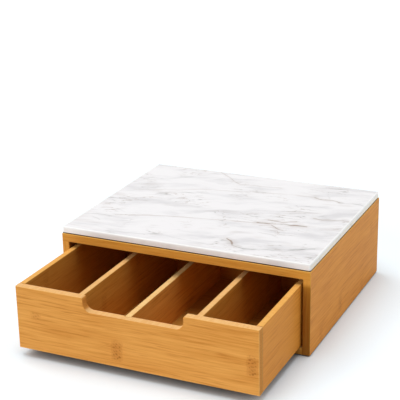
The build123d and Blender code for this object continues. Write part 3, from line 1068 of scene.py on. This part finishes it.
class CABINET_OT_fixings(bpy.types.Operator):
    """Models the fluted dowels and the countersunk screws"""

    bl_idname = "cabinet.fixings"
    bl_label = "Model Fixings"

    def execute(self, context):
        settings = context.scene.cabinet_fittings
        zinc = plain_material("zinc", settings.zinc, 0.35, 0.02 * MM, metallic=1.0)
        for node, (body, direction) in FIXINGS.items():
            direction = Vector(direction)
            boxes = solid_boxes(node)
            size = boxes[0][1] - boxes[0][0]
            reach = abs(size.dot(direction))
            radius = min(size) / 2
            is_screw = node.endswith("screws")
            pattern = (model_screw if is_screw else model_dowel)(settings, radius, reach)
            pieces = []
            for turn, (low, high) in enumerate(boxes):
                place = (low + high) / 2
                if is_screw:
                    place += direction * reach / 2
                pieces.append(put_copy(pattern, place, direction, turn))
            bpy.data.objects.remove(pattern)
            if is_screw:
                made = join_pieces(f"threaded_{node}", pieces)
                finish_piece(made, zinc, node, body)
            else:
                made = join_pieces(f"fluted_{node}", pieces)
                stretch = [0.1 if direction[i] else 1 for i in range(3)]
                beech = plain_material(f"beech_{node}", settings.beech, 0.6, 0.05 * MM, stretch=stretch)
                finish_piece(made, beech, node, body)
            smooth(made, 30)
        return {"FINISHED"}


# Stage

FLOOR_SIZE = 30
FLOOR_GRAIN = (0.7, 0.7, 0.7)
# Colour of the painted shadow where things stand on the floor
CONTACT_SHADOW_TONE = (0.03, 0.02, 0.015)

# Where each light comes from: azimuth and elevation in degrees
LAMPS = (("overhead", 0, 85), ("front", -25, 20), ("right", 100, 20), ("back", 160, 8), ("left", -110, 50))


def toward(azimuth, elevation):
    """The direction from the object to something at that azimuth and elevation, in radians."""
    flat = math.cos(elevation)
    return Vector((math.sin(azimuth) * flat, -math.cos(azimuth) * flat, math.sin(elevation)))


def add_lamp(name, azimuth, elevation, spread, strength):
    """A broad light with no glare. A strength of 1 fully lights a face that is square to it."""
    away = toward(math.radians(azimuth), math.radians(elevation))
    bpy.ops.object.light_add(type="SUN", location=away)
    lamp = bpy.context.object
    lamp.name = name
    lamp.rotation_euler = away.to_track_quat("Z", "Y").to_euler()
    lamp.data.angle = spread
    lamp.data.energy = math.pi * strength
    lamp.visible_glossy = False


def openness(graph, reach):
    """How much of the sky a point sees past the things that stand nearer than reach."""
    return graph.add("AmbientOcclusion", {"Distance": reach}, "AO", samples=12)


def floor_material(settings):
    """A pale floor that glows a little where the camera sees it, so that it reads as white, with a painted
    shadow near things, where the glow fades and the floor turns darker.
    """
    material, graph = start_material("floor")
    place = object_place(graph)
    grain = graph.noise(place, 300)
    base = graph.mix(graph.rise(grain, 0.3, 0.7, 0, 0.04), tuple(settings.floor), FLOOR_GRAIN)
    # Painted shadow: the floor turns darker where things stand near
    contact_shadow = graph.rise(openness(graph, settings.contact_shadow), 0.0, 0.43, 0.9, 0)
    base = graph.mix(contact_shadow, base, CONTACT_SHADOW_TONE)
    matt = graph.add("BsdfDiffuse", {"Color": base})
    open_share = openness(graph, settings.glow_reach)
    strength = graph.times(graph.math("POWER", open_share, 1.25), seen_directly(graph))
    glow = graph.add("Emission", {"Color": opaque(settings.glow), "Strength": strength})
    both = graph.add("AddShader", (matt, glow))
    graph.node("OutputMaterial", {"Surface": both})
    return material


def seen_directly(graph):
    """One for what the camera, a reflection or glass sees, and zero for what lights the scene."""
    path = graph.node("LightPath").outputs
    seen = graph.math("MAXIMUM", path["Is Camera Ray"], path["Is Glossy Ray"])
    return graph.math("MAXIMUM", seen, path["Is Transmission Ray"])


def white_world(settings):
    """A plain surround: white where it is seen, and a soft light that is stronger overhead."""
    world = bpy.data.worlds.new("surround")
    bpy.context.scene.world = world
    world.use_nodes = True
    world.node_tree.nodes.clear()
    graph = Graph(world.node_tree)
    height = graph.split(graph.add("TexCoord", output="Generated"))[2]
    lighting = graph.times(graph.math("MAXIMUM", height, 0), settings.zenith)
    strength = graph.math("MAXIMUM", lighting, seen_directly(graph))
    light = graph.add("Background", {"Color": (1, 1, 1, 1), "Strength": strength})
    graph.node("OutputWorld", {"Surface": light})


class CABINET_OT_stage(bpy.types.Operator):
    """Adds the floor, the lamps and the camera"""

    bl_idname = "cabinet.stage"
    bl_label = "Set Stage"

    def execute(self, context):
        settings = context.scene.cabinet_stage
        deselect()
        bpy.ops.mesh.primitive_plane_add(size=FLOOR_SIZE)
        floor = settle("floor")
        dress(floor, floor_material(settings))
        white_world(settings)
        for name, azimuth, elevation in LAMPS:
            add_lamp(name, azimuth, elevation, settings.spread, getattr(settings, name))
        away = toward(settings.azimuth, settings.elevation)
        bpy.ops.object.camera_add(location=Vector(settings.aim) + away * settings.distance)
        camera = context.object
        turn = away.to_track_quat("Z", "Y").to_matrix() @ Matrix.Rotation(settings.roll, 3, "Z")
        camera.rotation_euler = turn.to_euler()
        camera.data.lens = settings.lens
        context.scene.camera = camera
        context.scene.view_settings.view_transform = "Standard"
        return {"FINISHED"}


class CABINET_PT_panel(bpy.types.Panel):
    """Lists the settings and the operators in the order in which they run"""

    bl_label = "Bamboo Cabinet"
    bl_space_type = "VIEW_3D"
    bl_region_type = "UI"
    bl_category = "Cabinet"

    def draw(self, context):
        for group in SETTINGS:
            box = self.layout.box()
            owner = getattr(context.scene, group)
            for name in owner.bl_rna.properties.keys():
                if name not in ("rna_type", "name"):
                    box.prop(owner, name)
        for operator in OPERATORS:
            self.layout.operator(operator.bl_idname)


SETTINGS = {
    "cabinet_bamboo": BambooSettings,
    "cabinet_marble": MarbleSettings,
    "cabinet_fittings": FittingSettings,
    "cabinet_stage": StageSettings,
}
OPERATORS = (
    CABINET_OT_boards, CABINET_OT_slab, CABINET_OT_bond_and_shadow, CABINET_OT_feet, CABINET_OT_fixings,
    CABINET_OT_stage,
)
CLASSES = (*SETTINGS.values(), *OPERATORS, CABINET_PT_panel)


def register():
    """Registers the classes and adds the settings to the scene."""
    for made in CLASSES:
        bpy.utils.register_class(made)
    for name, group in SETTINGS.items():
        setattr(bpy.types.Scene, name, PointerProperty(type=group))


def unregister():
    """Takes the settings and the classes away again."""
    for name in SETTINGS:
        delattr(bpy.types.Scene, name)
    for made in reversed(CLASSES):
        bpy.utils.unregister_class(made)


def main():
    """Makes the whole scene."""
    register()
    bpy.ops.cabinet.boards()
    bpy.ops.cabinet.slab()
    bpy.ops.cabinet.bond()
    bpy.ops.cabinet.feet()
    bpy.ops.cabinet.fixings()
    bpy.ops.cabinet.stage()


if __name__ == "__main__":
    main()
